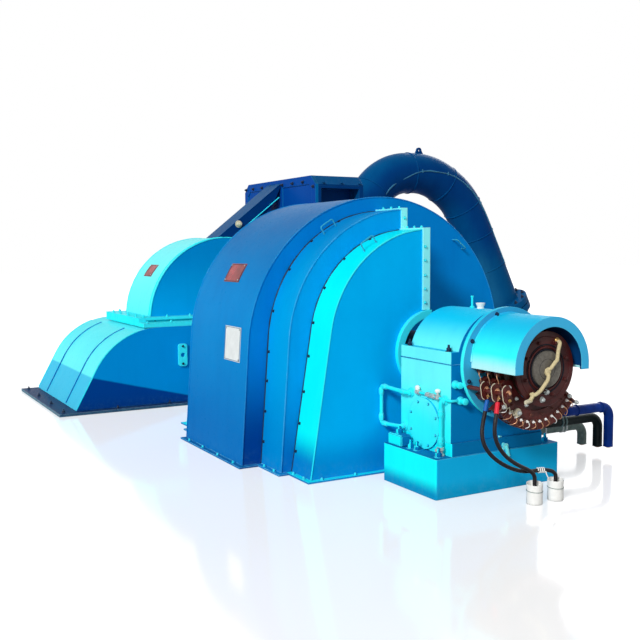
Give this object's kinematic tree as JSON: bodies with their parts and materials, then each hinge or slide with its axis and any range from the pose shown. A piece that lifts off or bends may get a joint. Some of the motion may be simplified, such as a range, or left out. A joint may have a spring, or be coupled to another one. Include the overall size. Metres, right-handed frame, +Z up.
{
  "type": "hydroelectric generator",
  "caption": "Horizontal impulse-turbine generator set with stepped arched covers, pedestal bearings, exposed slip rings with brush gear, domed runner casing and a bent inlet pipe.",
  "frame": {"origin": "on the floor under the shaft, half way along the generator's main cover", "axes": "+Z up, +Y along the shaft towards the turbine, +X to the right seen from the slip-ring end"},
  "size_m": [7.5435, 7.179, 3.238],
  "materials": {
    "azure_paint": "semi-gloss paint",
    "deep_blue_paint": "semi-gloss paint",
    "shaft_steel": "turned",
    "maroon_enamel": "insulating enamel",
    "ring_steel": "ground",
    "cream_tape": "varnished cotton tape",
    "navy_sleeve": "smooth",
    "black_sleeve": "smooth",
    "grey_sleeve": "smooth",
    "white_wrap": "wrapped sheet"
  },
  "bodies": {
    "root": {"main_cover": "azure_paint", "front_large_cover": "azure_paint", "front_small_cover": "azure_paint", "rear_large_cover": "azure_paint", "rear_small_cover": "azure_paint", "front_split_flange": "azure_paint", "rear_split_flange": "azure_paint", "front_shaft_ring": "azure_paint", "rear_shaft_ring": "azure_paint", "cover_handles": "azure_paint", "front_base_block": "azure_paint", "rear_base_block": "azure_paint", "front_pedestal": "azure_paint", "rear_pedestal": "azure_paint", "front_bearing_cap": "azure_paint", "rear_bearing_cap": "azure_paint", "inspection_cover": "azure_paint", "bearing_end_disc": "azure_paint", "slip_ring_hood": "azure_paint", "oil_pipe_loop": "azure_paint", "oil_drain_pipe": "azure_paint", "cap_fittings": "azure_paint", "turbine_base_plate": "azure_paint", "lower_casing": "azure_paint", "hood_flange": "azure_paint", "runner_hood": "azure_paint", "side_bracket": "azure_paint", "nozzle_box": "deep_blue_paint", "nozzle_box_lid": "deep_blue_paint", "nozzle_side_plate": "deep_blue_paint", "nozzle_duct": "deep_blue_paint", "inlet_elbow": "deep_blue_paint", "inlet_leg": "deep_blue_paint", "inlet_flange": "deep_blue_paint", "pipe_lug": "deep_blue_paint", "brush_yoke": "maroon_enamel", "brush_holders": "maroon_enamel", "terminal_plates": "maroon_enamel", "output_lead_outer": "navy_sleeve", "output_lead_middle": "black_sleeve", "brush_cable_one": "black_sleeve", "brush_cable_two": "black_sleeve", "output_lead_inner": "grey_sleeve", "cable_end_one": "white_wrap", "cable_end_two": "white_wrap"},
    "rotor": {"shaft": "shaft_steel", "slip_ring_hub": "maroon_enamel", "slip_rings": "ring_steel", "field_leads": "cream_tape"}
  },
  "joints": [
    {"name": "rotor_spin", "type": "hinge", "parent": "root", "child": "rotor", "pos_m": [0, 0, 0.95], "axis": [0, 1, 0], "continuous": true}
  ]
}
